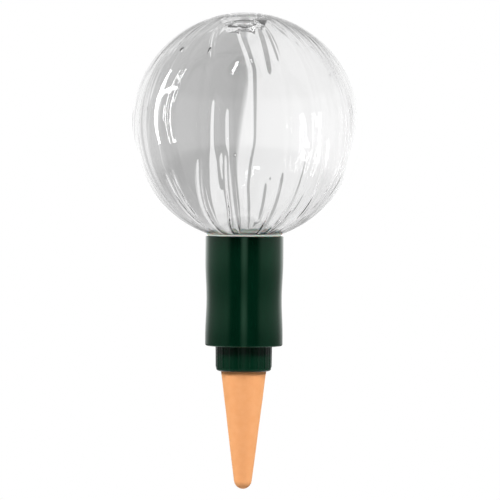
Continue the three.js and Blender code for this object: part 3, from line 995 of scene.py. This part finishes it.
def clay_cone_piece():
    flange = CONE_RADIUS + CONE_LEDGE
    outer_tip = arc_rows(0, tip_centre, CONE_TIP, -QUARTER, -lean, 14)
    inner_tip = arc_rows(0, tip_centre, CONE_TIP - CONE_WALL, -lean, -QUARTER, 8)
    bore = CONE_RADIUS - CONE_WALL
    upper = [
        outer_tip[-1],
        (CONE_RADIUS, 0),
        (CONE_RADIUS, LEDGE_HEIGHT),
        (flange, LEDGE_HEIGHT + CONE_LEDGE),
        (flange, cone_top - CONE_CHAMFER),
        (flange - CONE_CHAMFER, cone_top),
        (bore, cone_top),
        (bore, 0),
        inner_tip[0],
    ]
    sides = finer(np.array(upper), 1.2, closed=False)
    profile = np.concatenate([outer_tip[:-1], sides, inner_tip[1:]])
    points = turn_profile(*profile.T, 128)
    shows = smooth_step(0.5, -3, profile[:, 1])[:, None]
    dent = SPONGE_DEPTH * shows * (unevenness(points / MM * 2.5) - 1)
    away = points * (1, 1, 0)
    reach = np.maximum(np.linalg.norm(away, axis=-1, keepdims=True), 1 * MM)
    return add_capped("terracotta_cone", points + away / reach * dent[..., None] * MM)


dress(clay_cone_piece(), clay, "stake", "clay_cone")

# %% [markdown]
# ## The studio
#
# The photograph is cut out on white, but the glass still shows the studio: a grey card behind its
# left half, a white one behind its right half, and dark room behind the camera, which is the dark
# band down the middle of the collar. So the studio here is a ball of cards close round the object.
# The camera looks through it, and only reflected and refracted light meets it.

# %% Floor
FLOOR_DROP = 450 * MM  # so far below that no shadow shows
FLOOR_HALF_SIDE = 0.6  # metres


def see_white(tree):
    """A node that gives 1 for a ray that the camera, a reflection or a refraction sent, and else 0."""
    path = add_node(tree, "LightPath").outputs
    either = {"operation": "MAXIMUM"}
    seen = add_node(tree, "Math", either, _0=path["Is Camera Ray"], _1=path["Is Glossy Ray"])
    return add_node(tree, "Math", either, _0=seen, _1=path["Is Transmission Ray"])


def pale_floor(tree):
    paint = add_node(tree, "BsdfDiffuse", Color=linear("#B4B4B2"))
    white = add_node(tree, "Emission", Strength=1.0)
    return add_node(tree, "MixShader", Fac=see_white(tree), _1=paint, _2=white)


floor_corners = np.array([[-1, -1, 0], [1, -1, 0], [1, 1, 0], [-1, 1, 0]]) * FLOOR_HALF_SIDE
floor_corners[:, 2] = -FLOOR_DROP
studio_floor = add_mesh("studio_floor", floor_corners, [[0, 1, 2, 3]])
studio_floor.data.materials.append(make_material("pale studio floor", pale_floor))

# %% World
AMBIENT = 0.08


def white_room(tree):
    strength = add_node(tree, "Mix", _0=see_white(tree), _2=AMBIENT, _3=1.0)
    return add_node(tree, "Background", Color=(1, 1, 1, 1), Strength=strength)


bpy.context.scene.world = give_nodes(bpy.data.worlds.new("studio"), "OutputWorld", white_room)

# %% Ball of cards
TENT_RADIUS = 320 * MM
TENT_HEIGHT = 100 * MM  # of its centre
CARD_LEAN = 0.1  # how far the seam between the cards moves sideways per unit of height
SEAM_WANDER = 0.012  # and how far it bulges to the right, in radians
SEAM_TURN = 0.014  # the seam's place, in quarter turns from +Y
CEILING = 0.04
MIRRORED = 1.6  # how bright the brightest card is to a mirror image
SEAM_BULGE = ((0, 0), (0.55, 0.35), (0.75, 1), (1, 0))
CARD_GREYS = ((0.0, 0.95), (0.12, 1.0), (0.79, 1.0), (0.87, 0.53), (0.994, 0.47), (1.0, 0.95))
ROOM_GREYS = (
    (0.0, 1.0), (0.22, 1.0), (0.33, 0.5), (0.72, 0.4),
    (0.79, 0.02), (0.94, 0.0), (0.96, 0.5), (1.0, 0.85),
)
LEVEL_GREYS = ((0.0, 0.6), (0.15, 0.6), (0.275, 0.0), (0.45, 1.0), (0.65, 0.6), (1.0, 0.6))


def card_light(tree):
    """What the cards send back, for refracted rays and for reflected rays.

    azimuth runs from +Y towards +X, and height is the share of the tent's radius. The cards repeat
    every quarter turn, so that each side of the object has a white one on its right and a grey one on
    its left. The seam between them leans, and it bulges a little to the right halfway up. For mirror
    images the room is darkest just under the object's foot and brightest level with the collar's top,
    so the cap, which the collar overhangs, mirrors little.
    """
    place = add_node(tree, "TexCoord").outputs["Object"]
    middle = (0, 0, -TENT_HEIGHT / TENT_RADIUS)
    scale = [1 / TENT_RADIUS] * 3
    centred = add_node(tree, "Mapping", Vector=place, Location=middle, Scale=scale)
    x, y, height = add_node(tree, "SeparateXYZ", Vector=centred).outputs
    azimuth = add_node(tree, "Math", {"operation": "ARCTAN2"}, _0=x, _1=y)

    leaning = add_node(tree, "Math", TIMES_PLUS, _0=height, _1=-CARD_LEAN, _2=azimuth)
    halfway = add_node(tree, "MapRange", Value=height, From_Min=-0.1, From_Max=0.3)
    bulge = colour_steps(tree, halfway, SEAM_BULGE)
    seam = add_node(tree, "Math", TIMES_PLUS, _0=bulge, _1=-SEAM_WANDER, _2=leaning)
    quarters = add_node(tree, "Math", TIMES_PLUS, _0=seam, _1=1 / QUARTER, _2=2 + SEAM_TURN)
    side = add_node(tree, "Math", {"operation": "FRACT"}, _0=quarters)
    walls = colour_steps(tree, side, CARD_GREYS)
    smooth = {"interpolation_type": "SMOOTHSTEP"}
    rise = {"From_Min": 0.4, "From_Max": 0.55, "To_Min": 1.0, "To_Max": CEILING}
    ceiling = add_node(tree, "MapRange", smooth, Value=height, **rise)
    refracted = add_node(tree, "Math", TIMES, _0=walls, _1=ceiling)

    around = add_node(tree, "Math", {"operation": "ABSOLUTE"}, _0=azimuth)
    half_turns = add_node(tree, "Math", {"operation": "DIVIDE"}, _0=around, _1=math.pi)
    room = colour_steps(tree, half_turns, ROOM_GREYS)
    upwards = add_node(tree, "MapRange", Value=height, From_Min=-1.0)
    level = colour_steps(tree, upwards, LEVEL_GREYS)
    levelled = add_node(tree, "Math", TIMES, _0=room, _1=level)
    mirrored = add_node(tree, "Math", TIMES, _0=levelled, _1=MIRRORED)

    refracts = add_node(tree, "LightPath").outputs["Is Transmission Ray"]
    strength = add_node(tree, "Mix", _0=refracts, _2=mirrored, _3=refracted)
    return add_node(tree, "Emission", Strength=strength)


tent_points = ball_points([TENT_RADIUS / MM] * 3, 49, 96)[::-1] + (0, 0, TENT_HEIGHT)
cards = add_capped("studio_cards", tent_points)
cards.data.materials.append(make_material("studio cards", card_light))
cards.visible_camera = False
cards.visible_diffuse = False
cards.visible_shadow = False

# %% [markdown]
# ## Lamps
#
# Five soft lamps in a ring above light the object evenly from every side. They are hidden from
# reflections, because the pieces mirror the cards.
#
# The other lamps each light one piece. A window, four strips in a plane at the left, and one small
# lamp overhead are only for the glass, which mirrors them as the photograph's bright streaks. Their
# slants are worked out backwards: the streak's place gives the ball's normal there, which mirrors the
# view into the lamp's direction. Four low strips are only for the silicone seal, whose thin brim lies
# in the ball's shade. With the globe lifted out, the ring of lamps would burn out the seal's pale
# upper face, so a weaker ring in the same places lights the seal instead. It shines through the ball
# as light does through real glass, because a path tracer hardly finds such paths.

# %% Helpers for lamps
def add_lamp(name, place, aim, size, watts, roll=0):
    """A soft rectangular lamp. Lengths are in metres, and roll turns it about its aim, in degrees."""
    data = bpy.data.lights.new(name, "AREA")
    data.shape = "RECTANGLE"
    data.size, data.size_y = size
    data.energy = watts
    lamp = bpy.data.objects.new(name, data)
    bpy.context.scene.collection.objects.link(lamp)
    lamp.location = place
    towards = np.subtract(aim, place)
    turn = math.atan2(-towards[0], towards[1])
    rise = math.atan2(towards[2], math.hypot(towards[0], towards[1]))
    lamp.rotation_euler = (QUARTER + rise, 0, turn)
    lamp.rotation_euler.rotate_axis("Z", math.radians(roll))
    return lamp


def only_for(piece, lamp, light):
    """Lets only this piece receive the lamp, and sets its power so that light is its radiance."""
    name = "lit for " + piece.name
    receivers = bpy.data.collections.get(name) or bpy.data.collections.new(name)
    if piece.name not in receivers.objects:
        receivers.objects.link(piece)
    lamp.light_linking.receiver_collection = receivers
    lamp.data.energy = light * lamp.data.size * lamp.data.size_y * math.pi


def all_but(piece):
    """A collection for light linking that stands for everything but this piece."""
    name = "all but " + piece.name
    if name not in bpy.data.collections:
        bpy.data.collections.new(name).objects.link(piece)
        bpy.data.collections[name].collection_objects[0].light_linking.link_state = "EXCLUDE"
    return bpy.data.collections[name]


# %% Ring of soft lamps
LAMP_COUNT = 5
LAMP_DISTANCE = 1.4  # metres from the axis
LAMP_HEIGHT = 1.17  # so that each shines down at about 38 degrees
LAMP_SIDE = 0.45
LAMP_WATTS = 26
SEAL_LAMP_LIGHT = 9
middle_of_object = (0, 0, 0.06)
for i in range(LAMP_COUNT):
    turn = i * TURN / LAMP_COUNT - QUARTER
    place = (LAMP_DISTANCE * math.cos(turn), LAMP_DISTANCE * math.sin(turn), LAMP_HEIGHT)
    size = (LAMP_SIDE, LAMP_SIDE)
    lamp = add_lamp(f"soft_lamp_{i + 1}", place, middle_of_object, size, LAMP_WATTS)
    lamp.light_linking.receiver_collection = all_but(seal)
    seal_lamp = add_lamp(f"seal_lamp_{i + 1}", place, middle_of_object, size, 1)
    only_for(seal, seal_lamp, SEAL_LAMP_LIGHT)
    seal_lamp.light_linking.blocker_collection = all_but(globe)
    for each in (lamp, seal_lamp):
        each.visible_glossy = False
        each.visible_transmission = False


# %% Lamps that the glass mirrors
def only_mirrored(tree):
    """Light only along paths that a surface has mirrored, so that no lamp is seen through the glass."""
    depth = add_node(tree, "LightPath").outputs["Glossy Depth"]
    mirrored = add_node(tree, "Math", {"operation": "GREATER_THAN"}, _0=depth, _1=0.5)
    return add_node(tree, "Emission", Strength=mirrored)


ball = (0, 0, ball_centre * MM)
WINDOW_LIGHT = 12
WINDOW_X = -0.2
WINDOW_PANES = (  # its middle's y and z, its width and its length in metres, and its slant in degrees
    ("window_pane_left", 0.005, 0.182, 0.012, 0.195, 12.8),
    ("window_bar_left", -0.041, 0.19, 0.004, 0.22, 11.8),
    ("window_bar_right", -0.061, 0.2, 0.004, 0.24, 9.6),
    ("window_transom", -0.018, 0.222, 0.07, 0.012, 35),
)
for name, y, z, width, tall, slant in WINDOW_PANES:
    pane = add_lamp(name, (WINDOW_X, y, z), (0, y, z), (width, tall), 1, slant)
    only_for(globe, pane, WINDOW_LIGHT)
    give_nodes(pane.data, "OutputLight", only_mirrored)

SMALL_LAMP_LIGHT = 16
SMALL_LAMP_PLACE = (-0.03, -0.124, 0.17)  # metres from the ball's centre
SMALL_LAMP_SIZE = (0.007, 0.042)
spot = add_lamp("small_lamp", np.add(ball, SMALL_LAMP_PLACE), ball, SMALL_LAMP_SIZE, 1, -12)
only_for(globe, spot, SMALL_LAMP_LIGHT)
give_nodes(spot.data, "OutputLight", only_mirrored)

# %% Strips for the seal's brim
BRIM_LIGHT = 45
BRIM_LIGHT_COUNT = 4
BRIM_LIGHT_DISTANCE = 0.5
BRIM_LIGHT_SIZE = (0.4, 0.02)
brim_height = highest("neck_seal") * MM
for i in range(BRIM_LIGHT_COUNT):
    turn = i * TURN / BRIM_LIGHT_COUNT
    place = (BRIM_LIGHT_DISTANCE * math.cos(turn), BRIM_LIGHT_DISTANCE * math.sin(turn), brim_height)
    strip = add_lamp(f"brim_light_{i + 1}", place, (0, 0, brim_height), BRIM_LIGHT_SIZE, 1)
    only_for(seal, strip, BRIM_LIGHT)

# %% Light paths
# A ray that grazes the ball runs on inside the wall and bounces many times, so paths may be long.
paths = bpy.context.scene.cycles
paths.max_bounces = 32
paths.glossy_bounces = 16
paths.transmission_bounces = 24

# %% Colour
bpy.context.scene.view_settings.view_transform = "Standard"
